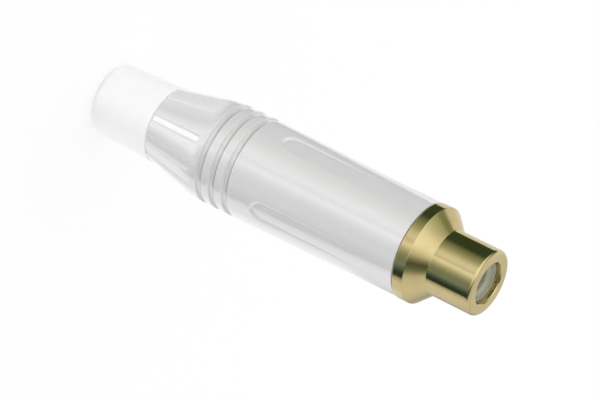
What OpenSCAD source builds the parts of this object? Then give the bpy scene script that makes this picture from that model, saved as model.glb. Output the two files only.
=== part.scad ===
// In-line RCA socket: a turned, gold-plated jack screwed into a die-cast
// shell, with a jaw chuck and a screw-in boot at the cable end.
// It stands on the foot of the boot, with its axis on Z and the nose up.

/* [Nose and flange] */
// Outside diameter of the nose, which the plug's collar slides over
nose_d = 8.3; // [8.0:0.05:8.6]
// Length of the nose, from its front face to the foot of the cone
nose_len = 6; // [4.5:0.1:7]
// Radius of the nose's front edge
nose_round = 0.45; // [0.2:0.05:0.6]
// Diameter of the opening in the front face
mouth_d = 5.24; // [5.0:0.02:5.6]
// Length of the cone between nose and flange
cone_len = 2; // [1:0.05:2.5]
// Diameter of the flange
flange_d = 12.25; // [12:0.05:12.6]
// Width of the flange's rim
flange_w = 1.55; // [1.4:0.05:3]
// Depth of the insulator's face below the front face
face_recess = 0.4; // [0.2:0.1:1]
// Width of the bevel round the opening in the front face
mouth_bevel = 0.12; // [0.08:0.02:0.3]

/* [Shell] */
// Diameter of the shell where it meets the flange
shell_front_d = 12.1; // [11.9:0.05:12.4]
// Diameter of the shell round the three grooves
shell_max_d = 12.8; // [12.6:0.1:13.4]
// Diameter of the rear rim
shell_rear_d = 9.56; // [9.5:0.02:10]
// Length of the shell
shell_len = 37.2; // [36:0.2:40]
// Length of the tapered barrel in front of the grooves
barrel_len = 22; // [20:0.5:23]
// Length of the rear cone, from the rim to its shoulder
rear_cone_len = 7.3; // [6.5:0.1:7.4]
// Radius that blends the rear cone into the grooved land
shoulder_round = 9; // [2:0.5:10]

/* [Grooves and flutes] */
// Number of grooves round the widest part
groove_count = 3; // [1:1:3]
// Distance from groove to groove
groove_pitch = 1.95; // [1.6:0.05:2.2]
// Width of one groove
groove_w = 0.8; // [0.4:0.05:1]
// Depth of one groove
groove_depth = 0.36; // [0.1:0.02:0.5]
// Number of long flutes in the barrel
flute_count = 4; // [2:1:6]
// Width of a long flute
flute_w = 3.65; // [2:0.05:4.5]
// Radius of a long flute's floor, to which the barrel tapers down
flute_floor_r = 6.14; // [6.0:0.01:6.3]
// Run of a long flute's sloped wall, over a rise of 0.3
flute_wall = 0.5; // [0.1:0.05:0.6]
// Number of short flutes in the rear cone
tail_flute_count = 8; // [4:1:12]
// Width of a short flute's flat floor
tail_flute_w = 0.9; // [0.6:0.1:1.4]
// Depth of a short flute at its front end
tail_flute_depth = 0.14; // [0.1:0.02:0.3]
// Depth of a short flute where it runs out through the rim
tail_flute_end_depth = 0.05; // [0.04:0.01:0.12]

/* [Threads and bores] */
// Radius of the shell's front thread, as a plain bore
front_thread_r = 5.0; // [4.9:0.05:5.1]
// Pitch of the front thread
front_pitch = 0.75; // [0.5:0.25:1]
// Turns that the front thread is engaged
front_turns = 6; // [4:1:6]
// Radius of the shell's rear thread, as a plain bore
rear_thread_r = 4.1; // [3.9:0.05:4.1]
// Clearance of a turning or sliding fit, on the radius
fit_gap = 0.04; // [0.02:0.01:0.08]
// Radius of the bore for the plug's pin
pin_r = 1.6; // [1.55:0.01:1.65]
// Radius of the cable passage in the boot and the chuck
cable_r = 3.0; // [2.5:0.1:3.0]

/* [Boot and strain relief] */
// Length of the boot behind the shell
boot_len = 8.85; // [7:0.05:12]
// Diameter of the boot where it meets the shell
boot_front_d = 9.8; // [9.6:0.02:10]
// Diameter of the boot at its foot
boot_rear_d = 9.2; // [9.0:0.02:9.6]
// Radius of the boot's rear edge
boot_round = 1.0; // [0.4:0.1:1.2]
// Length of the screwed stem inside the shell
stem_len = 4.2; // [4.1:0.1:5]
// Number of jaws of the chuck
jaw_count = 4; // [3:1:6]
// Width of the slots between the jaws
jaw_slot = 0.6; // [0.3:0.1:1]

/* [Hidden] */
$fn = 96;
// Overshoot of a cutter past the face that it opens
past = 1;

// Heights of the main stations above the foot
rim_z = boot_len;
shell_front_z = rim_z + shell_len;
cone_foot_z = shell_front_z + flange_w;
nose_root_z = cone_foot_z + cone_len;
front_face_z = nose_root_z + nose_len;
shoulder_z = rim_z + rear_cone_len;
land_z = shell_front_z - barrel_len;
first_groove_z = shoulder_z + groove_pitch;

// Inside of the jack, from the flange down: thread, neck with a snap groove, and rolled lip
thread_end_z = shell_front_z - front_turns * front_pitch;
neck_len = 2.35;
neck_end_z = thread_end_z - neck_len;
neck_r = 4.2;
snap_groove_r = 4.05;
snap_w = 0.6;
snap_z = thread_end_z - neck_len / 2;
lip_t = 0.5;
lip_r = 3.2;
lip_z = neck_end_z + lip_t;
step_r = 3.4;
step_drop = 0.55;
step_z = shell_front_z - step_drop;
seat_gap = 0.02;

// Stack inside the jack: bush with its face and collar, collar of the contact, rear washer, ring of the lug
insulator_face_z = front_face_z - face_recess;
bush_face_t = 1.8;
bush_collar_t = 1.9;
bush_collar_z = step_z - bush_collar_t;
contact_collar_t = 0.9;
contact_collar_z = bush_collar_z - contact_collar_t;
contact_collar_r = 3.0;
lug_t = 0.5;
lug_top_z = lip_z + lug_t;

// Spring contact with its solder cup, and the lug's tab beside it
contact_r = 2.16;
tail_r = 1.5;
tail_end_z = 35;
cup_r = 1.15;
cup_depth = 3.4;
tab_w = 2.2;
tab_t = 0.4;
tab_x = 2.35;
tab_end_z = 32.5;

// Cavity of the shell: sleeve bore, web with the cable hole, taper, and rear thread with keyways
liner_bore_r = 4.6;
liner_drop = 0.35;
liner_top_z = thread_end_z - liner_drop;
liner_end_z = rim_z + shell_len / 2;
web_t = 2.7;
web_z = liner_end_z - web_t;
web_hole_r = 3.3;
taper_len = 4.8;
taper_z = web_z - taper_len;
taper_end_r = 3.5;
relief_h = 0.3;

// Chuck inside the taper, with two keys that run in the shell's keyways
stem_top_z = rim_z + stem_len;
chuck_gap = 0.5;
chuck_top_z = web_z - chuck_gap;
chuck_base = 1.55;
key_r = 4.36;
key_w = 1.1;
key_gap = 0.05;
key_angle = 22.5;
// The keys stop short of the base ring's top, and the keyways short of the taper
key_drop = 0.5;

// Core and collar of the gland nut, which the boot is moulded round
core_z = 3;
core_r = 4.05;
core_sides = 8;
collar_r = 4.4;
collar_h = 0.5;
gland_bore_r = cable_r + 0.2;

// An upright cylinder of height h from z, as a solid or as the cutter of a bore
module post(z, h, r) {
    translate([0, 0, z]) cylinder(h = h, r = r);
}

// An upright cone of height h from z, r1 at its foot and r2 at its top
module taper(z, h, r1, r2) {
    translate([0, 0, z]) cylinder(h = h, r1 = r1, r2 = r2);
}

// A ring of height h from z, between two radii
module ring(z, h, outer, inner) {
    difference() {
        post(z, h, outer);
        post(z - past, h + 2 * past, inner);
    }
}

// Points of an arc about (x, y), from one angle to another
function arc(x, y, r, from, to, steps) =
    [for (i = [0 : steps]) let (a = from + (to - from) * i / steps) [x + r * cos(a), y + r * sin(a)]];

// Turned brass jack: rounded nose, cone, flange, screwed shank and thin rear neck
module socket_body() {
    nose_r = nose_d / 2;
    flange_r = flange_d / 2;
    thread_r = front_thread_r - fit_gap;
    thread_lead = 0.25;
    root_r = flange_r - 0.3;
    shadow_gap = 0.12;
    edge = 0.1;
    cone_lean = atan2(flange_r - nose_r, cone_len);
    color("gold") difference() {
        rotate_extrude() polygon(concat(
            [[0, neck_end_z], [neck_r - edge, neck_end_z], [neck_r, neck_end_z + edge],
             [neck_r, snap_z - snap_w / 2], [snap_groove_r, snap_z - snap_w / 2],
             [snap_groove_r, snap_z + snap_w / 2], [neck_r, snap_z + snap_w / 2],
             [neck_r, thread_end_z], [thread_r - thread_lead, thread_end_z],
             [thread_r, thread_end_z + thread_lead], [thread_r, shell_front_z],
             [root_r, shell_front_z], [root_r, shell_front_z + shadow_gap]],
            arc(flange_r - edge, shell_front_z + shadow_gap + edge, edge, -90, 0, 4),
            arc(flange_r - edge, cone_foot_z - edge / 2, edge, 0, cone_lean, 4),
            arc(nose_r + edge, nose_root_z + edge / 2, edge, 180 + cone_lean, 180, 4),
            arc(nose_r - nose_round, front_face_z - nose_round, nose_round, 0, 90, 10),
            [[0, front_face_z]]));
        post(step_z - past, front_face_z - step_z + 2 * past, mouth_d / 2);
        taper(front_face_z - mouth_bevel, mouth_bevel + past, mouth_d / 2, mouth_d / 2 + mouth_bevel + past);
        post(lip_z, step_z - lip_z, step_r);
        post(neck_end_z - past, lip_z - neck_end_z + 2 * past, lip_r);
    }
}

// White insulating bush in the nose, with a collar behind the step of the bore
module front_insulator() {
    hole_r = pin_r + 0.15;
    face_back_z = insulator_face_z - bush_face_t;
    lead = 0.4;
    color("whitesmoke") difference() {
        union() {
            post(bush_collar_z, insulator_face_z - bush_collar_z, mouth_d / 2 - seat_gap);
            post(bush_collar_z, bush_collar_t, step_r - seat_gap);
        }
        post(bush_collar_z - past, face_back_z - bush_collar_z + past, contact_r + seat_gap);
        post(face_back_z - past, bush_face_t + 2 * past, hole_r);
        taper(insulator_face_z - lead, lead + past, hole_r, hole_r + lead + past);
    }
}

// Gold-plated spring contact: split tube for the pin, collar, and solder cup
module centre_contact() {
    face_gap = 0.05;
    mouth_z = insulator_face_z - bush_face_t - face_gap;
    mouth_lead = 0.25;
    bore_floor = 0.9;
    bore_end_z = bush_collar_z + bore_floor;
    slot_len = 6.4;
    slot_w = 0.35;
    cup_top_z = tail_end_z + cup_depth;
    color("goldenrod") difference() {
        union() {
            post(contact_collar_z, mouth_z - contact_collar_z, contact_r);
            post(contact_collar_z, contact_collar_t, contact_collar_r);
            post(tail_end_z, contact_collar_z - tail_end_z, tail_r);
        }
        post(bore_end_z, mouth_z - bore_end_z + past, pin_r);
        taper(mouth_z - mouth_lead, mouth_lead + past, pin_r, pin_r + mouth_lead + past);
        for (a = [45, 135])
            rotate([0, 0, a]) translate([-contact_r - past, -slot_w / 2, mouth_z - slot_len])
                cube([2 * (contact_r + past), slot_w, slot_len + past]);
        post(tail_end_z - past, cup_depth + past, cup_r);
        translate([-tail_r - past, -tail_r - past, tail_end_z - past])
            cube([tail_r + past, 2 * (tail_r + past), cup_top_z - tail_end_z]);
    }
}

// Insulating washer that holds the contact's collar from behind
module rear_insulator() {
    color("linen") ring(lug_top_z, contact_collar_z - lug_top_z, step_r - seat_gap, tail_r + seat_gap);
}

// Stamped ground tab: a ring under the rolled lip, with a long solder tab
module ground_lug() {
    tab_eye_z = tab_end_z + tab_w / 2;
    eye_r = 0.5;
    weld = 0.1;
    color("silver") {
        ring(lip_z, lug_t, step_r - seat_gap, tab_x);
        difference() {
            union() {
                translate([tab_x, -tab_w / 2, tab_eye_z]) cube([tab_t, tab_w, lip_z - tab_eye_z + weld]);
                translate([tab_x, 0, tab_eye_z]) rotate([0, 90, 0]) cylinder(h = tab_t, r = tab_w / 2);
            }
            translate([tab_x - past, 0, tab_eye_z]) rotate([0, 90, 0])
                cylinder(h = tab_t + 2 * past, r = eye_r);
        }
    }
}

// Thin insulating sleeve round the solder ends, snapped on to the jack's neck
module liner() {
    rib_w = snap_w - 0.2;
    root = 0.1;
    color("ivory") {
        ring(liner_end_z, liner_top_z - liner_end_z, liner_bore_r - fit_gap, neck_r + fit_gap);
        ring(snap_z - rib_w / 2, rib_w, neck_r + root, snap_groove_r + fit_gap);
    }
}

// Cutter of one long flute: a slot with sloped walls and a half-round end, down to its floor radius
module long_flute() {
    land_margin = 1.6;
    wall_rise = 0.3;
    end_z = land_z + land_margin + flute_w / 2;
    floor_half = flute_w / 2 - flute_wall;
    rise = shell_max_d / 2 + past - flute_floor_r;
    wall_slope = flute_wall / wall_rise;
    top_half = floor_half + wall_slope * rise;
    difference() {
        rotate([90, 0, 0]) translate([0, end_z, flute_floor_r]) union() {
            cylinder(h = rise, r1 = floor_half, r2 = top_half);
            rotate([-90, 0, 0]) linear_extrude(height = shell_front_z)
                polygon([[-floor_half, 0], [floor_half, 0], [top_half, -rise], [-top_half, -rise]]);
        }
        post(land_z - past, shell_len, flute_floor_r);
    }
}

// Cutter of one short flute: a flat floor with sloped walls and a squared front end, which falls to the rear rim
module tail_flute() {
    reach = 0.4;
    rise = 0.8;
    corner = 0.25;
    half = tail_flute_w / 2;
    start_z = shoulder_z + reach;
    start_r = shell_max_d / 2 - tail_flute_depth;
    end_r = shell_rear_d / 2 - tail_flute_end_depth;
    fall = atan2(start_r - end_r, start_z - rim_z);
    translate([0, -start_r, start_z]) rotate([90 + fall, 0, 0]) {
        translate([0, -corner, 0]) rotate([90, 0, 0]) linear_extrude(height = start_z - rim_z + past)
            polygon([[-half, 0], [half, 0], [half + rise, rise], [-half - rise, rise]]);
        translate([corner - half, 0, 0]) rotate([90, 0, 90]) linear_extrude(height = tail_flute_w - 2 * corner)
            polygon([[-corner, 0], [0, 0], [rise, rise], [-corner, rise]]);
        for (side = [-1, 1])
            translate([side * (half - corner), -corner, 0]) cylinder(h = rise, r1 = corner, r2 = corner + rise);
    }
}

// Outline of the shell's outside, with a blended shoulder and one notch for each groove
module shell_outline() {
    core = 2;
    max_r = shell_max_d / 2;
    rear_r = shell_rear_d / 2;
    cone_angle = atan2(max_r - rear_r, rear_cone_len);
    blend_z = shoulder_z + shoulder_round * tan(cone_angle / 2);
    soft = 0.12;
    difference() {
        offset(r = soft) offset(delta = -soft) polygon(concat(
            [[core, rim_z], [rear_r, rim_z]],
            arc(max_r - shoulder_round, blend_z, shoulder_round, -cone_angle, 0, 8),
            [[max_r, land_z], [shell_front_d / 2, shell_front_z], [core, shell_front_z]]));
        for (i = [0 : groove_count - 1])
            translate([max_r, first_groove_z + i * groove_pitch]) groove_notch();
    }
}

// Section of one groove: round floor, with both edges rolled over on to the lands
module groove_notch() {
    half = groove_w / 2;
    edge = 0.14;
    floor_r = 0.3;
    polygon(concat(
        [[past, -half - edge]],
        arc(-edge, -half - edge, edge, 0, 90, 3),
        arc(-groove_depth + floor_r, -half + floor_r, floor_r, 270, 180, 4),
        arc(-groove_depth + floor_r, half - floor_r, floor_r, 180, 90, 4),
        arc(-edge, half + edge, edge, 270, 360, 3),
        [[past, half + edge]]));
}

// Die-cast shell: tapered barrel with long flutes, three grooves, and a fluted rear cone
module shell() {
    relief_z = liner_top_z - relief_h;
    keyway_r = key_r + key_gap;
    keyway_w = key_w + 2 * key_gap;
    color("gainsboro") difference() {
        rotate_extrude() shell_outline();
        for (i = [0 : flute_count - 1])
            rotate([0, 0, 360 / flute_count * (i + 0.5)]) long_flute();
        for (i = [0 : tail_flute_count - 1])
            rotate([0, 0, 360 / tail_flute_count * i]) tail_flute();
        post(relief_z, shell_front_z - relief_z + past, front_thread_r);
        post(liner_end_z, shell_len, liner_bore_r);
        post(rim_z - past, shell_len - past, web_hole_r);
        taper(taper_z, web_z - taper_z, rear_thread_r, taper_end_r);
        post(rim_z - past, taper_z - rim_z + past, rear_thread_r);
        rotate([0, 0, key_angle]) translate([-keyway_r, -keyway_w / 2, rim_z - past])
            cube([2 * keyway_r, keyway_w, taper_z - rim_z + past - key_drop]);
    }
}

// Strain-relief chuck: a keyed base ring with jaws that the shell's taper closes on the cable
module chuck() {
    jaw_r = rear_thread_r - 0.1;
    jaw_tip_r = taper_end_r - fit_gap;
    tooth = 0.2;
    tooth_pitch = 1;
    first_tooth_z = taper_z - 2;
    slot_z = stem_top_z + chuck_base + 1;
    color("white") difference() {
        union() {
            post(stem_top_z, chuck_base, rear_thread_r - fit_gap);
            post(stem_top_z, taper_z - stem_top_z, jaw_r);
            taper(taper_z, chuck_top_z - taper_z, jaw_r, jaw_tip_r);
            rotate([0, 0, key_angle]) translate([-key_r, -key_w / 2, stem_top_z])
                cube([2 * key_r, key_w, chuck_base - key_drop]);
        }
        post(stem_top_z - past, chuck_top_z - stem_top_z + 2 * past, cable_r);
        for (z = [first_tooth_z : tooth_pitch : chuck_top_z - tooth_pitch])
            post(z, tooth_pitch / 2, cable_r + tooth);
        for (i = [0 : jaw_count - 1])
            rotate([0, 0, 360 / jaw_count * i]) translate([0, -jaw_slot / 2, slot_z])
                cube([rear_thread_r + past, jaw_slot, chuck_top_z]);
    }
}

// Gland nut moulded into the boot: eight-sided core, collar and screwed stem
module gland_nut() {
    collar_z = rim_z - collar_h;
    color("silver") difference() {
        union() {
            translate([0, 0, core_z]) cylinder(h = rim_z - core_z, r = core_r, $fn = core_sides);
            post(collar_z, collar_h, collar_r);
            post(collar_z, stem_top_z - collar_z, rear_thread_r - fit_gap);
        }
        post(core_z - past, stem_top_z - core_z + 2 * past, gland_bore_r);
    }
}

// Soft white boot round the gland nut, with a rounded rear edge and the cable hole
module boot() {
    front_r = boot_front_d / 2;
    rear_r = boot_rear_d / 2;
    front_edge = 0.12;
    cable_lead = 0.3;
    color("snow") difference() {
        rotate_extrude() polygon(concat(
            [[0, 0]],
            arc(rear_r - boot_round, boot_round, boot_round, -90, 0, 10),
            [[front_r, rim_z - front_edge], [front_r - front_edge, rim_z], [0, rim_z]]));
        post(-past, core_z + 2 * past, cable_r);
        taper(-past, cable_lead + past, cable_r + cable_lead + past, cable_r);
        translate([0, 0, core_z]) cylinder(h = rim_z, r = core_r, $fn = core_sides);
        post(rim_z - collar_h, collar_h + past, collar_r);
    }
}

socket_body();
front_insulator();
centre_contact();
rear_insulator();
ground_lug();
liner();
shell();
chuck();
gland_nut();
boot();
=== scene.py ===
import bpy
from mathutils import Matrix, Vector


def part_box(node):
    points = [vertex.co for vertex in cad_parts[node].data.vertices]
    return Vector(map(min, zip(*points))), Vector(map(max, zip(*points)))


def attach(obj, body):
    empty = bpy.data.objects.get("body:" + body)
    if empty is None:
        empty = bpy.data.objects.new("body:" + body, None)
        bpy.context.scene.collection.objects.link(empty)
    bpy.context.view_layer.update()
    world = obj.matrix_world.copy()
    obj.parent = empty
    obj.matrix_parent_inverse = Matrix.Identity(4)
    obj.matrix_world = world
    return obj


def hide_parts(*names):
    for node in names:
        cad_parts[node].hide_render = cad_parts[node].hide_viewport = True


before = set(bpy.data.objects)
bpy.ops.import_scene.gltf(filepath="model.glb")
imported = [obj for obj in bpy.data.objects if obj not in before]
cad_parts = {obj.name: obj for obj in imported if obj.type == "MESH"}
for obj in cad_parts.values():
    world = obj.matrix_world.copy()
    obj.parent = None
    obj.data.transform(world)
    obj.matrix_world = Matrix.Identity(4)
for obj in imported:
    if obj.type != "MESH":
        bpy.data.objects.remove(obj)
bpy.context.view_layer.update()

# Looks of an in-line RCA socket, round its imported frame. It stands on the foot of its boot, nose up.
import math

import bpy
from mathutils import Matrix, Vector

# Camera: it looks at the nose end from 64 degrees off the axis, and it is rolled so that the socket lies
# from the upper left to the lower right, as on the photographer's table.
AXIS_TO_SIGHT = math.radians(63.63)
AXIS_SLOPE = math.radians(26.47)
NOSE_DISTANCE = 0.400
NOSE_RIGHT = 0.0214
NOSE_DOWN = 0.0095
AIM_BELOW_FACE = 0.0004
SENSOR = 36.0
LENS = 208.6

nose_top = Vector((0, 0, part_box("socket_body")[1].z - AIM_BELOW_FACE))
back = Vector((0, -math.sin(AXIS_TO_SIGHT), math.cos(AXIS_TO_SIGHT)))
level_right = Vector((0, math.cos(AXIS_TO_SIGHT), math.sin(AXIS_TO_SIGHT)))
level_up = Vector((-1, 0, 0))
right = math.cos(AXIS_SLOPE) * level_right + math.sin(AXIS_SLOPE) * level_up
up = -math.sin(AXIS_SLOPE) * level_right + math.cos(AXIS_SLOPE) * level_up
camera = bpy.data.objects.new("camera", bpy.data.cameras.new("camera"))
camera.data.lens = LENS
camera.data.sensor_width = SENSOR
camera.data.clip_start = 0.01
camera.data.clip_end = 20
camera.matrix_world = Matrix((right, up, back)).transposed().to_4x4()
camera.location = nose_top - NOSE_RIGHT * right + NOSE_DOWN * up + NOSE_DISTANCE * back
bpy.context.scene.collection.objects.link(camera)
bpy.context.scene.camera = camera


# Studio: a tent of light round the socket, which the plating mirrors. Seen along the axis it is brightest
# overhead, grey and then teal to the lamp side, dark at the tent's skirt, and white below at the table.
def node(tree, kind, links=(), **settings):
    """Adds a node, sets its properties, and links or sets the given inputs."""
    made = tree.nodes.new(kind)
    for name, value in settings.items():
        setattr(made, name, value)
    for slot, source in links:
        if isinstance(source, bpy.types.NodeSocket):
            tree.links.new(source, made.inputs[slot])
        else:
            made.inputs[slot].default_value = source
    return made


def dot(tree, direction, axis):
    made = node(tree, "ShaderNodeVectorMath", [(0, direction), (1, axis)], operation="DOT_PRODUCT")
    return made.outputs["Value"]


def reckon(tree, operation, *values):
    made = node(tree, "ShaderNodeMath", list(enumerate(values)), operation=operation)
    return made.outputs[0]


def soft_step(tree, value, low, high, at_low=0.0, at_high=1.0):
    made = node(
        tree, "ShaderNodeMapRange",
        [("Value", value), ("From Min", low), ("From Max", high), ("To Min", at_low), ("To Max", at_high)],
        interpolation_type="SMOOTHSTEP",
    )
    return made.outputs["Result"]


def blend(tree, factor, a, b):
    made = node(tree, "ShaderNodeMix", [(0, factor), (6, a), (7, b)], data_type="RGBA")
    return made.outputs[2]


def ring_of_light(tree, turn, stops):
    """Colours round the axis. Each stop is degrees from overhead and a grey level or a colour."""
    made = node(tree, "ShaderNodeValToRGB", [(0, turn)])
    elements = made.color_ramp.elements
    elements.remove(elements[-1])
    for count, (degrees, light) in enumerate(stops):
        place = degrees / 360 + 0.5
        if count:
            element = elements.new(place)
        else:
            element = elements[0]
            element.position = place
        element.color = (*light, 1) if isinstance(light, tuple) else (light, light, light, 1)
    return made.outputs["Color"]


TENT_TURN = math.radians(13.2)
OVERHEAD = (-math.sin(TENT_TURN), -math.cos(TENT_TURN), 0)
LAMP_SIDE = (math.cos(TENT_TURN), -math.sin(TENT_TURN), 0)
SKIRT = (0.043, 0.068, 0.039)
PALE_TEAL = (0.23, 0.29, 0.295)
DEEP_TEAL = (0.11, 0.16, 0.17)
GAP = (0.03, 0.05, 0.045)
# Stops of three rings of light: the one that the barrel mirrors, one before the nose and one behind the tail
BESIDE = [
    (-180, 0.52), (-172, 0.62), (-160, 0.82), (-143, 0.80), (-133, 0.77), (-123, 0.80), (-115, 0.80),
    (-113, SKIRT), (-62, SKIRT), (-54, (0.125, 0.155, 0.095)), (-43, (0.25, 0.285, 0.20)),
    (-33, (0.37, 0.39, 0.30)), (-23, (0.54, 0.56, 0.47)), (-13, (0.75, 0.78, 0.72)), (-4, 0.84), (5, 0.70),
    (14, 0.98), (27, (0.52, 0.54, 0.49)), (37, (0.31, 0.34, 0.29)), (48, (0.22, 0.26, 0.22)), (57, PALE_TEAL),
    (67, DEEP_TEAL), (77, GAP), (90, GAP), (92, 0.50), (99, 0.62), (107, 0.79), (127, 0.75), (147, 0.64),
    (168, 0.44), (180, 0.52),
]
BEFORE = [
    (-180, 0.64), (-165, 0.70), (-150, 0.80), (-134, 0.80), (-121, 0.74), (-116, 0.60),
    (-111, (0.28, 0.30, 0.21)), (-106, (0.23, 0.25, 0.16)), (-99, (0.25, 0.29, 0.17)),
    (-91, (0.42, 0.46, 0.36)), (-72, (0.66, 0.71, 0.62)), (-61, (0.83, 0.85, 0.82)), (-48, 0.99), (-34, 1.05),
    (-18, 1.10), (0, 1.09), (19, 0.91), (38, (0.65, 0.68, 0.61)), (55, (0.27, 0.31, 0.26)),
    (70, (0.08, 0.10, 0.075)), (83, (0.13, 0.15, 0.10)), (94, (0.25, 0.29, 0.23)), (105, 0.63), (114, 0.73),
    (131, 0.78), (145, 0.72), (159, 0.67), (180, 0.62),
]
BEHIND = [
    (-180, 1.0), (-119, 0.95), (-112, 0.60), (-97, 0.45), (-79, 0.58), (-69, 0.67), (-59, 0.62), (-49, 0.52),
    (-39, 0.38), (-28, 0.34), (-17, 0.63), (-6, 0.88), (5, 0.95), (16, 1.04), (27, 1.15), (38, 1.08),
    (49, 0.60), (60, 0.34), (80, 0.25), (90, 0.30), (95, 0.60), (100, 0.90), (110, 1.0), (180, 1.0),
]
# One ring gives way to the next between two cosines, measured from the way that the nose points
BESIDE_TO_BEFORE = (-0.10, 0.50)
BEHIND_TO_BESIDE = (-0.60, -0.48)
# The ring behind is spread round by a factor, which fades out between two such cosines
SPREAD_BEHIND = 1.12
SPREAD_FADES = (-0.45, -0.39)
# The table: two cosines and its share at each, measured from overhead and from the way that the nose points
TABLE_BELOW = (-0.80, -0.55, 1.0, 0.0)
TABLE_BEHIND = (-0.420, -0.405, 0.9, 0.0)
TABLE_GLOW = (1.15, 1.15, 1.15, 1)
# A small bright patch behind and above, with its core and its edge as cosines
HOT_SPOT = (0, -0.67, -0.742)
HOT_CORE = math.cos(math.radians(3))
HOT_EDGE = math.cos(math.radians(13))
HOT_SHARE = 0.85
HOT_GLOW = (1.9, 1.9, 1.9, 1)
DOWNHILL_LIGHT = (0.84, 0.84, 0.84, 1)
UPHILL_LIGHT = (1.17, 1.17, 1.17, 1)

world = bpy.data.worlds.new("studio")
bpy.context.scene.world = world
world.use_nodes = True
tree = world.node_tree
tree.nodes.clear()
sight = node(tree, "ShaderNodeTexCoord").outputs["Generated"]
turn = reckon(tree, "ARCTAN2", dot(tree, sight, LAMP_SIDE), dot(tree, sight, OVERHEAD))
ahead = dot(tree, sight, (0, 0, 1))
turn = reckon(tree, "MULTIPLY", turn, soft_step(tree, ahead, *SPREAD_FADES, 1 / SPREAD_BEHIND, 1.0))
turn = reckon(tree, "MULTIPLY_ADD", turn, 1 / math.tau, 0.5)
tent = blend(
    tree, soft_step(tree, ahead, *BESIDE_TO_BEFORE),
    ring_of_light(tree, turn, BESIDE), ring_of_light(tree, turn, BEFORE),
)
tent = blend(tree, soft_step(tree, ahead, *BEHIND_TO_BESIDE), ring_of_light(tree, turn, BEHIND), tent)
table = soft_step(tree, dot(tree, sight, OVERHEAD), *TABLE_BELOW)
table = reckon(tree, "MULTIPLY", table, soft_step(tree, ahead, *TABLE_BEHIND))
tent = blend(tree, table, tent, TABLE_GLOW)
hot = soft_step(tree, dot(tree, sight, HOT_SPOT), HOT_EDGE, HOT_CORE, 0.0, HOT_SHARE)
tent = blend(tree, hot, tent, HOT_GLOW)
mirrored = node(tree, "ShaderNodeBackground", [("Color", tent), ("Strength", 1.0)])
uphill = soft_step(tree, dot(tree, sight, (-1, 0, 0)), -1, 1)
soft_light = blend(tree, uphill, DOWNHILL_LIGHT, UPHILL_LIGHT)
plain = node(tree, "ShaderNodeBackground", [("Color", soft_light), ("Strength", 1.0)])
white = node(tree, "ShaderNodeBackground", [("Color", (1, 1, 1, 1)), ("Strength", 1.0)])
ray = node(tree, "ShaderNodeLightPath")
light = plain
for kind, seen in (("Is Glossy Ray", mirrored), ("Is Camera Ray", white)):
    links = [(0, ray.outputs[kind]), (1, light.outputs[0]), (2, seen.outputs[0])]
    light = node(tree, "ShaderNodeMixShader", links)
node(tree, "ShaderNodeOutputWorld", [("Surface", light.outputs[0])])

# Floor: a white sheet under the foot. It keeps a part of the socket's shadow, the plating mirrors the tent
# through it, and it can't be seen from below.
FLOOR_SIZE = 6.0
SHADE_SHARE = 0.35
bpy.ops.object.select_all(action="DESELECT")
bpy.ops.mesh.primitive_plane_add(size=FLOOR_SIZE, location=(0, 0, 0))
floor = bpy.context.object
floor.name = "floor"
floor.visible_glossy = False
paper = bpy.data.materials.new("floor_paper")
paper.use_nodes = True
tree = paper.node_tree
tree.nodes.clear()
sheet = node(tree, "ShaderNodeBsdfDiffuse", [("Color", (1, 1, 1, 1))])
glow = node(tree, "ShaderNodeEmission", [("Color", (1, 1, 1, 1)), ("Strength", 1.0)])
clear = node(tree, "ShaderNodeBsdfTransparent")
ray = node(tree, "ShaderNodeLightPath")
share = reckon(tree, "MULTIPLY", ray.outputs["Is Camera Ray"], 1 - SHADE_SHARE)
face = node(tree, "ShaderNodeMixShader", [(0, share), (1, sheet.outputs[0]), (2, glow.outputs[0])])
under = node(tree, "ShaderNodeNewGeometry").outputs["Backfacing"]
face = node(tree, "ShaderNodeMixShader", [(0, under), (1, face.outputs[0]), (2, clear.outputs[0])])
node(tree, "ShaderNodeOutputMaterial", [("Surface", face.outputs[0])])
floor.data.materials.append(paper)


# Jack: turned from brass bar and gold-plated. It has a nose that the plug's collar slides over, a cone, a
# flange, a screwed shank and a thin neck with a snap groove. It is spun from its outline in millimetres, and
# its thread is cut as a helix.
MM = 0.001
TURN_STEPS = 256
ARC_FLAT = 0.03
ARC_STEP = math.radians(12)
SHARP = math.radians(20)


def box_end(name, end, axis):
    """Where a solid's box ends: end 0 or 1 along x, y or z, in millimetres."""
    return round(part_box(name)[end]["xyz".index(axis)] / MM, 3)


def outline(corners):
    """Points of a closed outline with corners (radius, height, rounding), and a short flat beside an arc."""
    spots = [Vector(corner[:2]) for corner in corners]
    count = len(corners)
    ways = [(spots[(i + 1) % count] - spots[i]).normalized() for i in range(count)]
    turns = [ways[i - 1].angle(ways[i]) for i in range(count)]
    reaches = [corners[i][2] * math.tan(turns[i] / 2) for i in range(count)]
    points = []
    for i, spot in enumerate(spots):
        if not corners[i][2]:
            points.append(spot)
            continue
        flat_before = (spot - spots[i - 1]).length - reaches[i - 1] - reaches[i]
        flat_after = (spots[(i + 1) % count] - spot).length - reaches[i] - reaches[(i + 1) % count]
        start = spot - ways[i - 1] * reaches[i]
        end = spot + ways[i] * reaches[i]
        rounding = corners[i][2]
        centre = spot + (ways[i] - ways[i - 1]).normalized() * rounding / math.cos(turns[i] / 2)
        from_start = (start - centre).normalized()
        to_end = (end - centre).normalized()
        if flat_before > 3 * ARC_FLAT:
            points.append(start - ways[i - 1] * ARC_FLAT)
        steps = max(2, math.ceil(turns[i] / ARC_STEP))
        for step in range(steps + 1):
            points.append(centre + from_start.slerp(to_end, step / steps) * rounding)
        if flat_after > 3 * ARC_FLAT:
            points.append(end + ways[i] * ARC_FLAT)
    return [(point.x, 0, point.y) for point in points]


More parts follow.
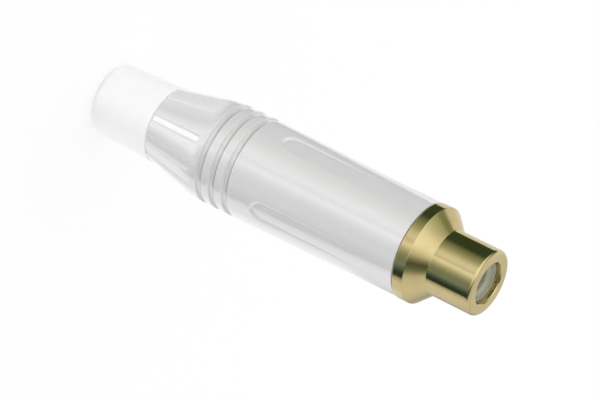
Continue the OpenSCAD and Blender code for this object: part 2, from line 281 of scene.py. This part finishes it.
def trace(name, points):
    """A closed wire through the points, drawn by extruding one vertex from each point to the next."""
    bpy.ops.object.select_all(action="DESELECT")
    bpy.ops.mesh.primitive_plane_add(size=1, location=(0, 0, 0))
    piece = bpy.context.object
    piece.name = name
    bpy.ops.object.mode_set(mode="EDIT")
    bpy.ops.mesh.select_all(action="SELECT")
    bpy.ops.mesh.merge(type="CENTER")
    bpy.ops.transform.translate(value=points[0])
    for here, there in zip(points, points[1:] + points[:1]):
        step = [b - a for a, b in zip(here, there)]
        bpy.ops.mesh.extrude_vertices_move(TRANSFORM_OT_translate={"value": step})
    weld()
    bpy.ops.object.mode_set(mode="OBJECT")
    return piece


def weld():
    bpy.ops.mesh.select_all(action="SELECT")
    bpy.ops.mesh.remove_doubles(threshold=1e-4)


def spun(name, points, steps=TURN_STEPS):
    """A turned solid: its closed outline spun about the axis."""
    piece = trace(name, points)
    bpy.ops.object.mode_set(mode="EDIT")
    bpy.ops.mesh.select_all(action="SELECT")
    bpy.ops.mesh.spin(steps=steps, angle=math.tau, center=(0, 0, 0), axis=(0, 0, 1), use_auto_merge=False)
    weld()
    bpy.ops.mesh.normals_make_consistent(inside=False)
    bpy.ops.object.mode_set(mode="OBJECT")
    return piece


def carve(piece, cutter, operation="DIFFERENCE"):
    """Cuts one solid by another, or joins them, and drops the tool."""
    made = piece.modifiers.new("carve", "BOOLEAN")
    made.operation = operation
    made.solver = "EXACT"
    made.object = cutter
    bpy.ops.object.select_all(action="DESELECT")
    piece.select_set(True)
    bpy.context.view_layer.objects.active = piece
    bpy.ops.object.modifier_apply(modifier=made.name)
    bpy.data.objects.remove(cutter)


def helix_groove(name, root, crest, pitch, low, high):
    """The cutter of a screw thread: a V section, swept up its helix from low to high."""
    past = 0.08
    steps = 72
    half_root = pitch / 16
    half_top = half_root + (crest + past - root) * math.tan(math.radians(30))
    section = [(root, 0, low - half_root), (crest + past, 0, low - half_top),
               (crest + past, 0, low + half_top), (root, 0, low + half_root)]
    piece = trace(name, section)
    sweep = piece.modifiers.new("sweep", "SCREW")
    sweep.angle = math.tau
    sweep.screw_offset = pitch
    sweep.iterations = math.ceil((high - low) / pitch)
    sweep.steps = steps
    sweep.render_steps = steps
    bpy.ops.object.modifier_apply(modifier=sweep.name)
    bpy.ops.object.mode_set(mode="EDIT")
    weld()
    bpy.ops.mesh.select_all(action="DESELECT")
    bpy.ops.mesh.select_non_manifold()
    bpy.ops.mesh.edge_face_add()
    bpy.ops.mesh.select_all(action="SELECT")
    bpy.ops.mesh.normals_make_consistent(inside=False)
    bpy.ops.object.mode_set(mode="OBJECT")
    return piece


def finish_mesh(piece):
    """Brings a piece from millimetres to metres, and shades it smooth but for its edges."""
    bpy.ops.object.select_all(action="DESELECT")
    piece.select_set(True)
    bpy.context.view_layer.objects.active = piece
    bpy.ops.object.mode_set(mode="EDIT")
    bpy.ops.mesh.select_all(action="SELECT")
    bpy.ops.transform.resize(value=(MM, MM, MM), center_override=(0, 0, 0))
    bpy.ops.object.mode_set(mode="OBJECT")
    bpy.ops.object.shade_smooth_by_angle(angle=SHARP)


def effect(name, inputs, outputs):
    """An empty node group with named sockets."""
    made = bpy.data.node_groups.new(name, "ShaderNodeTree")
    for label, value in inputs:
        socket = made.interface.new_socket(name=label, in_out="INPUT", socket_type="NodeSocketFloat")
        socket.default_value = value
    for label in outputs:
        made.interface.new_socket(name=label, in_out="OUTPUT", socket_type="NodeSocketFloat")
    return made, made.nodes.new("NodeGroupInput").outputs, made.nodes.new("NodeGroupOutput").inputs


def axis_distance(tree, spot):
    """How far a spot lies from the axis."""
    flat = node(tree, "ShaderNodeVectorMath", [(0, spot), (1, (1, 1, 0))], operation="MULTIPLY").outputs[0]
    return node(tree, "ShaderNodeVectorMath", [(0, flat)], operation="LENGTH").outputs["Value"]


# Rings left by a lathe tool, round the axis on sides and faces alike
turning_marks, given, put = effect("turning_marks", [("Rings per mm", 4.0)], ["Marks"])
spot = node(turning_marks, "ShaderNodeTexCoord").outputs["Object"]
height = dot(turning_marks, spot, (0, 0, 1))
along = reckon(turning_marks, "ADD", height, axis_distance(turning_marks, spot))
along = reckon(turning_marks, "MULTIPLY", reckon(turning_marks, "DIVIDE", along, MM), given["Rings per mm"])
links = [("W", along), ("Scale", 1.0), ("Detail", 2.0)]
rings = node(turning_marks, "ShaderNodeTexNoise", links, noise_dimensions="1D")
turning_marks.links.new(rings.outputs["Fac"], put["Marks"])

# Fine grain all over a moulded, cast or plated surface
grain, given, put = effect("grain", [("Grains per mm", 10.0), ("Detail", 2.0)], ["Grain"])
spot = node(grain, "ShaderNodeTexCoord").outputs["Object"]
specks = reckon(grain, "DIVIDE", given["Grains per mm"], MM)
noise = node(grain, "ShaderNodeTexNoise", [("Vector", spot), ("Scale", specks), ("Detail", given["Detail"])])
grain.links.new(noise.outputs["Fac"], put["Grain"])


def finish(name, metallic, **fixed):
    """A new material's tree and its shader."""
    made = bpy.data.materials.new(name)
    made.use_nodes = True
    shader = made.node_tree.nodes["Principled BSDF"]
    shader.inputs["Metallic"].default_value = metallic
    for label, value in fixed.items():
        shader.inputs[label.replace("_", " ")].default_value = value
    return made, made.node_tree, shader


def between(tree, value, low, high):
    """Spreads a noise, most of which lies from 0.3 to 0.7, from low to high."""
    links = [("Value", value), ("From Min", 0.3), ("From Max", 0.7), ("To Min", low), ("To Max", high)]
    return node(tree, "ShaderNodeMapRange", links).outputs["Result"]


def relief(tree, shader, height, depth, base=None):
    """Bumps the shader's normal by a height of depth millimetres."""
    links = [("Height", height), ("Distance", depth * MM), ("Strength", 1.0)]
    if base is not None:
        links.append(("Normal", base))
    tree.links.new(node(tree, "ShaderNodeBump", links).outputs[0], shader.inputs["Normal"])


def two_tone(tree, mask, dark, light):
    """A colour between two tones."""
    return blend(tree, between(tree, mask, 0, 1), (*dark, 1), (*light, 1))


def turned_metal(name, dark, light, shine, dull, depth):
    """Plating over lathe work: two tones, and rings that change its roughness and its level."""
    made, tree, shader = finish(name, 1.0)
    coarse = node(tree, "ShaderNodeGroup", node_tree=grain)
    coarse.inputs["Grains per mm"].default_value = 0.35
    tone = two_tone(tree, coarse.outputs["Grain"], dark, light)
    tree.links.new(tone, shader.inputs["Base Color"])
    marks = node(tree, "ShaderNodeGroup", node_tree=turning_marks)
    tree.links.new(between(tree, marks.outputs["Marks"], shine, dull), shader.inputs["Roughness"])
    edge = node(tree, "ShaderNodeBevel", [("Radius", 0.03 * MM)], samples=4)
    relief(tree, shader, marks.outputs["Marks"], depth, edge.outputs[0])
    return made


def wear(piece, material):
    piece.data.materials.clear()
    piece.data.materials.append(material)


front_z = box_end("shell", 1, "z")
nose_face_z = box_end("socket_body", 1, "z")
neck_end_z = box_end("socket_body", 0, "z")
flange_r = 6.125
seam_r = 5.7
flange_foot_z = front_z + 0.15
cone_foot_z = front_z + 1.55
nose_root_z = cone_foot_z + 2.0
nose_r = 4.15
mouth_r = 2.74
mouth_foot_z = nose_face_z - 0.12
bore_r = 2.62
seat_r = 3.4
seat_z = front_z - 0.55
thread_root = 4.5
thread_crest = 4.96
thread_pitch = 0.75
thread_foot_z = front_z - 6 * thread_pitch
thread_chamfer = 0.3
run_out_z = front_z - 0.35
neck_r = 4.2
snap_r = 4.05
snap_low = 40.075
snap_high = 40.675
lip_r = 3.2
lip_z = neck_end_z + 0.5
jack = spun("gold_jack", outline([
    (lip_r, neck_end_z, 0), (neck_r, neck_end_z, 0.1), (neck_r, snap_low, 0), (snap_r, snap_low, 0),
    (snap_r, snap_high, 0), (neck_r, snap_high, 0), (neck_r, thread_foot_z, 0),
    (thread_crest - thread_chamfer, thread_foot_z, 0), (thread_crest, thread_foot_z + thread_chamfer, 0),
    (thread_crest, run_out_z - 0.1, 0), (thread_root, run_out_z, 0), (thread_root, front_z, 0),
    (seam_r, front_z, 0), (seam_r, flange_foot_z, 0), (flange_r, flange_foot_z, 0.08),
    (flange_r, cone_foot_z, 0.14), (nose_r, nose_root_z, 0.12), (nose_r, nose_face_z, 0.45),
    (mouth_r, nose_face_z, 0.03), (bore_r, mouth_foot_z, 0.03), (bore_r, seat_z, 0),
    (seat_r, seat_z, 0), (seat_r, lip_z, 0), (lip_r, lip_z, 0),
]))
thread_low = thread_foot_z - 0.65
thread_high = front_z - 0.15
carve(jack, helix_groove("front_thread", thread_root, thread_crest, thread_pitch, thread_low, thread_high))
finish_mesh(jack)
gold_plate = turned_metal(
    "gold_plate", dark=(0.70, 0.57, 0.27), light=(0.78, 0.65, 0.34), shine=0.06, dull=0.15, depth=0.0012,
)
wear(jack, gold_plate)
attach(jack, "jack")
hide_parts("socket_body")

# Bush: white fluoroplastic, turned and pressed into the nose, with a lead round its hole for the plug's pin.
# Its face is painted darker, as painted shade of the gold well, and the lead is painted lighter, as painted
# light.
bush_r = bore_r - 0.02
collar_r = seat_r - 0.02
collar_z = box_end("front_insulator", 0, "z")
bush_face_z = nose_face_z - 0.67
lead_foot_z = bush_face_z - 0.73
lead_r = 2.25
pin_hole_r = 1.75
contact_hole_r = 2.27
contact_hole_z = 53.4
bush = spun("nose_bush", outline([
    (contact_hole_r, collar_z, 0), (collar_r, collar_z, 0.1), (collar_r, seat_z, 0), (bush_r, seat_z, 0),
    (bush_r, bush_face_z, 0.06), (lead_r, bush_face_z, 0.12), (pin_hole_r, lead_foot_z, 0.12),
    (pin_hole_r, contact_hole_z, 0), (contact_hole_r, contact_hole_z, 0),
]))
finish_mesh(bush)
bush_resin, tree, shader = finish("bush_resin", 0.0, Subsurface_Weight=1.0, Subsurface_Scale=0.6 * MM)
shader.inputs["Subsurface Radius"].default_value = (1.0, 0.95, 0.75)
mottle = node(tree, "ShaderNodeGroup", node_tree=grain)
mottle.inputs["Grains per mm"].default_value = 1.2
face = two_tone(tree, mottle.outputs["Grain"], (0.30, 0.295, 0.215), (0.35, 0.345, 0.26))
# Painted light: the lead round the pin hole is painted lighter than the shaded face
radius = axis_distance(tree, node(tree, "ShaderNodeTexCoord").outputs["Object"])
lead_painted_light = soft_step(tree, radius, pin_hole_r * MM, (lead_r + 0.05) * MM, 1.0, 0.0)
tree.links.new(blend(tree, lead_painted_light, face, (0.57, 0.57, 0.46, 1)), shader.inputs["Base Color"])
marks = node(tree, "ShaderNodeGroup", node_tree=turning_marks)
tree.links.new(between(tree, marks.outputs["Marks"], 0.30, 0.42), shader.inputs["Roughness"])
relief(tree, shader, marks.outputs["Marks"], 0.001)
wear(bush, bush_resin)
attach(bush, "jack")
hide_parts("front_insulator")

# Contact: a split tube that grips the plug's pin, with a collar and a cut-away solder cup behind. It is
# turned from brass and gold-plated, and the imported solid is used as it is.
contact_gold = turned_metal(
    "contact_gold", dark=(0.62, 0.48, 0.22), light=(0.72, 0.57, 0.29), shine=0.14, dull=0.26, depth=0.0008,
)
wear(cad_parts["centre_contact"], contact_gold)


# Rear washer: it holds the contact's collar from behind. It is moulded in cream plastic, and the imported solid
# is used as it is.
def grained(tree, shader, grains, dark, light, shine, dull, depth):
    """Grains per millimetre over a surface: two tones, a varied roughness, and a relief in millimetres."""
    mottle = node(tree, "ShaderNodeGroup", node_tree=grain)
    mottle.inputs["Grains per mm"].default_value = grains
    tone = two_tone(tree, mottle.outputs["Grain"], dark, light)
    tree.links.new(tone, shader.inputs["Base Color"])
    tree.links.new(between(tree, mottle.outputs["Grain"], shine, dull), shader.inputs["Roughness"])
    relief(tree, shader, mottle.outputs["Grain"], depth)


washer_resin, tree, shader = finish("washer_resin", 0.0)
grained(
    tree, shader, grains=10, dark=(0.74, 0.71, 0.62), light=(0.80, 0.78, 0.70),
    shine=0.42, dull=0.58, depth=0.003,
)
wear(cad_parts["rear_insulator"], washer_resin)

# Ground tab: it is held under the lip that is rolled over it. It is stamped from tinned brass strip, and the
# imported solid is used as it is.
tin_plate, tree, shader = finish("tin_plate", 1.0)
grained(
    tree, shader, grains=2.5, dark=(0.50, 0.50, 0.48), light=(0.66, 0.66, 0.64),
    shine=0.28, dull=0.48, depth=0.002,
)
wear(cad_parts["ground_lug"], tin_plate)

# Sleeve: a thin tube that snaps on to the jack's neck and covers the solder ends. It is of milky plastic, and
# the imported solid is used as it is.
sleeve_film, tree, shader = finish("sleeve_film", 0.0, Subsurface_Weight=0.4, Subsurface_Scale=0.5 * MM)
grained(
    tree, shader, grains=0.8, dark=(0.74, 0.72, 0.62), light=(0.82, 0.80, 0.71),
    shine=0.22, dull=0.36, depth=0.002,
)
wear(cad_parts["liner"], sleeve_film)


# Shell: zinc, die-cast and pearl-nickel plated. Its barrel tapers towards the jack and has four long flutes
# of one floor radius, so that they fade out. It has three grooves round its widest part, and twelve short
# flutes in its tail cone.
def loft(name, loops):
    """A solid between two loops with the same number of points."""
    parts = [trace(name, loop) for loop in loops]
    bpy.ops.object.select_all(action="DESELECT")
    for part in parts:
        part.select_set(True)
    bpy.context.view_layer.objects.active = parts[0]
    bpy.ops.object.join()
    bpy.ops.object.mode_set(mode="EDIT")
    bpy.ops.mesh.select_all(action="SELECT")
    bpy.ops.mesh.bridge_edge_loops()
    bpy.ops.mesh.select_all(action="SELECT")
    bpy.ops.mesh.fill_holes(sides=0)
    bpy.ops.mesh.select_all(action="SELECT")
    bpy.ops.mesh.normals_make_consistent(inside=False)
    bpy.ops.object.mode_set(mode="OBJECT")
    return parts[0]


def ring_copies(piece, count):
    """Repeats the whole mesh round the axis, count in all."""
    bpy.ops.object.select_all(action="DESELECT")
    piece.select_set(True)
    bpy.context.view_layer.objects.active = piece
    bpy.ops.object.mode_set(mode="EDIT")
    bpy.ops.mesh.select_all(action="SELECT")
    share = math.tau * (count - 1) / count
    bpy.ops.mesh.spin(steps=count - 1, dupli=True, angle=share, center=(0, 0, 0), axis=(0, 0, 1))
    bpy.ops.object.mode_set(mode="OBJECT")


def bend_points(x, y, radius, start, stop, steps):
    """Points of an arc, in degrees."""
    angles = [math.radians(start + (stop - start) * step / steps) for step in range(steps + 1)]
    return [(x + radius * math.cos(angle), y + radius * math.sin(angle)) for angle in angles]


rim_z = box_end("shell", 0, "z")
widest_r = box_end("shell", 1, "x")
rim_r = 4.78
rear_bore_r = 4.1
shoulder_z = 16.15
land_z = 24.05
first_groove_z = 18.1
groove_pitch = 1.95
groove_half = 0.4
groove_depth = 0.38
groove_floor_r = widest_r - groove_depth
front_r = 6.05
jack_bore_r = 5.0
jack_bore_z = 40.9
sleeve_bore_r = 4.6
sleeve_bore_z = 27.45
passage_r = 3.3
taper_top_r = 3.5
taper_top_z = 24.75
taper_foot_z = 19.95
shell_corners = [(rear_bore_r, rim_z, 0.08), (rim_r, rim_z, 0.12), (widest_r, shoulder_z, 9.0)]
for count in range(3):
    low = first_groove_z + count * groove_pitch - groove_half
    high = low + 2 * groove_half
    shell_corners += [(widest_r, low, 0.14), (groove_floor_r, low, 0.2)]
    shell_corners += [(groove_floor_r, high, 0.2), (widest_r, high, 0.14)]
shell_corners += [
    (widest_r, land_z, 5.0), (front_r, front_z, 0.12), (jack_bore_r, front_z, 0.1),
    (jack_bore_r, jack_bore_z, 0), (sleeve_bore_r, jack_bore_z, 0), (sleeve_bore_r, sleeve_bore_z, 0),
    (passage_r, sleeve_bore_z, 0), (passage_r, taper_top_z, 0), (taper_top_r, taper_top_z, 0),
    (rear_bore_r, taper_foot_z, 0),
]
shell = spun("fluted_shell", outline(shell_corners))

# A long flute's cutter is a slot with sloped walls and a round end, above the drum that its floor lies on
floor_r = 6.125
flute_half = 1.325
wall_slope = 0.5 / 0.3
flute_end_z = 27.475
loops = []
for reach in (floor_r - 0.1, widest_r + 0.6):
    half = flute_half + (reach - floor_r) * wall_slope
    plan = bend_points(0, flute_end_z, half, 180, 360, 24) + [(half, front_z + 2), (-half, front_z + 2)]
    loops.append([(x, -reach, z) for x, z in plan])
flutes = loft("long_flutes", loops)
drum_bore_r = 2
drum_foot_z = 20
drum_top_z = front_z + 4
drum = [
    (drum_bore_r, 0, drum_foot_z), (floor_r, 0, drum_foot_z),
    (floor_r, 0, drum_top_z), (drum_bore_r, 0, drum_top_z),
]
carve(flutes, spun("flute_drum", drum))
bpy.ops.object.mode_set(mode="EDIT")
bpy.ops.mesh.select_all(action="SELECT")
bpy.ops.transform.rotate(value=math.radians(45), orient_axis="Z", center_override=(0, 0, 0))
bpy.ops.object.mode_set(mode="OBJECT")
ring_copies(flutes, 4)
carve(shell, flutes)

# A short flute's cutter lies on a slant, above the cone that its floor lies on. It has a squared front end,
# and runs out through the rim. Three of them stand between two long flutes.
notch_half = 0.36
notch_corner = 0.25
notch_under = 0.05
notch_rise = 0.8
notch_spacing = 32.6
notch_top = Vector((0, -(widest_r - 0.2), 16.6))
notch_foot = Vector((0, -(rim_r - 0.12), rim_z))
fall = (notch_foot - notch_top).normalized()
rise = Vector((0, fall.z, -fall.y))
length = (notch_foot - notch_top).length + 1
slope = abs(fall.y / fall.z)
cone_foot_z = rim_z - 1.35
cone_top_z = rim_z + 8.9
cone_foot_r = -notch_foot.y - 1.35 * slope
cone_top_r = -notch_top.y + 1.2 * slope
cone = [
    (drum_bore_r, 0, cone_foot_z), (cone_foot_r, 0, cone_foot_z),
    (cone_top_r, 0, cone_top_z), (drum_bore_r, 0, cone_top_z),
]
for turn in (-notch_spacing, 0, notch_spacing):
    round_axis = Matrix.Rotation(math.radians(turn), 3, "Z")
    loops = []
    for lift in (-notch_under, notch_rise):
        corner = notch_corner + lift
        plan = bend_points(notch_half - notch_corner, -notch_corner, corner, 0, 90, 6)
        plan += bend_points(notch_corner - notch_half, -notch_corner, corner, 90, 180, 6)
        plan += [(-notch_half - lift, -length), (notch_half + lift, -length)]
        spots = [notch_top + Vector((x, 0, 0)) - y * fall + lift * rise for x, y in plan]
        loops.append([tuple(round_axis @ spot) for spot in spots])
    notches = loft("tail_flutes", loops)
    carve(notches, spun("tail_drum", cone, 64))
    ring_copies(notches, 4)
    carve(shell, notches)

# The chuck's two keyways are cut by one block across the rear bore
block_size = (8.82, 1.2, 11.6)
block_middle = (0, 0, rim_z - 1 + block_size[2] / 2)
keyway_turn = (0, 0, math.radians(22.5))
bpy.ops.object.select_all(action="DESELECT")
bpy.ops.mesh.primitive_cube_add(size=1, location=block_middle, rotation=keyway_turn, scale=block_size)
carve(shell, bpy.context.object)
finish_mesh(shell)

pearl_nickel, tree, shader = finish("pearl_nickel", 0.24, IOR=1.5)
cloud = node(tree, "ShaderNodeGroup", node_tree=grain)
cloud.inputs["Grains per mm"].default_value = 0.25
plate = two_tone(tree, cloud.outputs["Grain"], (0.811, 0.804, 0.811), (0.829, 0.822, 0.829))

# Painted shade: the plating is painted darker in the grooves, from the middle of each floor to the side towards
# the jack, where the deep corner lies in shade
spot = node(tree, "ShaderNodeTexCoord").outputs["Object"]
radius = axis_distance(tree, spot)
height = dot(tree, spot, (0, 0, 1))
shade = soft_step(tree, radius, (groove_floor_r + 0.01) * MM, (widest_r - 0.1) * MM, 1.0, 0.0)
outside = reckon(tree, "GREATER_THAN", radius, (groove_floor_r - 0.22) * MM)
from_middle = reckon(tree, "SUBTRACT", height, (first_groove_z + groove_pitch) * MM)
near_grooves = reckon(tree, "LESS_THAN", reckon(tree, "ABSOLUTE", from_middle), 2.5 * MM)
pitches = reckon(tree, "MULTIPLY_ADD", height, 1 / (groove_pitch * MM), 0.5 - first_groove_z / groove_pitch)
front_half = soft_step(tree, reckon(tree, "FRACT", pitches), 0.47, 0.57)
for mask in (outside, near_grooves, front_half):
    shade = reckon(tree, "MULTIPLY", shade, mask)
tree.links.new(blend(tree, shade, plate, (0.54, 0.54, 0.53, 1)), shader.inputs["Base Color"])
pores = node(tree, "ShaderNodeGroup", node_tree=grain)
pores.inputs["Grains per mm"].default_value = 1.4
tree.links.new(between(tree, pores.outputs["Grain"], 0.03, 0.06), shader.inputs["Roughness"])
edge = node(tree, "ShaderNodeBevel", [("Radius", 0.07 * MM)], samples=8)
relief(tree, shader, pores.outputs["Grain"], 0.0006, edge.outputs[0])
wear(shell, pearl_nickel)
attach(shell, "housing")
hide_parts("shell")

# Chuck: a keyed ring with four toothed jaws that the shell's taper closes on the cable. It is moulded in
# nylon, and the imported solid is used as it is.
chuck_nylon, tree, shader = finish("chuck_nylon", 0.0, Subsurface_Weight=0.3, Subsurface_Scale=0.5 * MM)
grained(
    tree, shader, grains=4, dark=(0.78, 0.78, 0.74), light=(0.84, 0.84, 0.81),
    shine=0.40, dull=0.55, depth=0.002,
)
wear(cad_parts["chuck"], chuck_nylon)

# Gland nut: its screwed stem pushes the chuck, and the boot is moulded round its eight-sided core. It is
# turned from brass and nickel-plated, and spun from its outline.
stem_bore_r = 3.2
stem_flange_r = 4.4
stem_foot_z = rim_z - 0.5
stem_root = 3.54
stem_crest = 4.06
stem_pitch = 1.0
stem_top_z = rim_z + 4.2
core_foot_z = 3
core_r = 4.05
gland = spun("gland_stem", outline([
    (stem_bore_r, stem_foot_z, 0), (stem_flange_r, stem_foot_z, 0), (stem_flange_r, rim_z, 0.05),
    (stem_root, rim_z, 0), (stem_root, rim_z + 0.35, 0), (stem_crest, rim_z + 0.5, 0),
    (stem_crest, stem_top_z - 0.2, 0), (stem_crest - 0.2, stem_top_z, 0), (stem_bore_r, stem_top_z, 0.05),
]))
thread_low = rim_z + 0.1
thread_high = stem_top_z + 0.55
carve(gland, helix_groove("rear_thread", stem_root, stem_crest, stem_pitch, thread_low, thread_high))
core_top_z = stem_foot_z + 0.1
core = [
    (stem_bore_r, 0, core_foot_z), (core_r, 0, core_foot_z),
    (core_r, 0, core_top_z), (stem_bore_r, 0, core_top_z),
]
carve(gland, spun("gland_core", core, 8), "UNION")
finish_mesh(gland)
gland_nickel = turned_metal(
    "gland_nickel", dark=(0.56, 0.55, 0.52), light=(0.66, 0.65, 0.62), shine=0.14, dull=0.28, depth=0.0008,
)
wear(gland, gland_nickel)
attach(gland, "gland")
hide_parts("gland_nut")

# Boot: a sleeve with a rounded rear edge and the cable's hole. It is moulded in soft white elastomer round
# the gland nut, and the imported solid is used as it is.
soft_white, tree, shader = finish("soft_white", 0.0, Specular_IOR_Level=0.8)
grained(
    tree, shader, grains=1, dark=(0.95, 0.95, 0.95), light=(0.97, 0.97, 0.97),
    shine=0.30, dull=0.36, depth=0.0001,
)
wear(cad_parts["boot"], soft_white)

bpy.context.scene.view_settings.view_transform = "Standard"
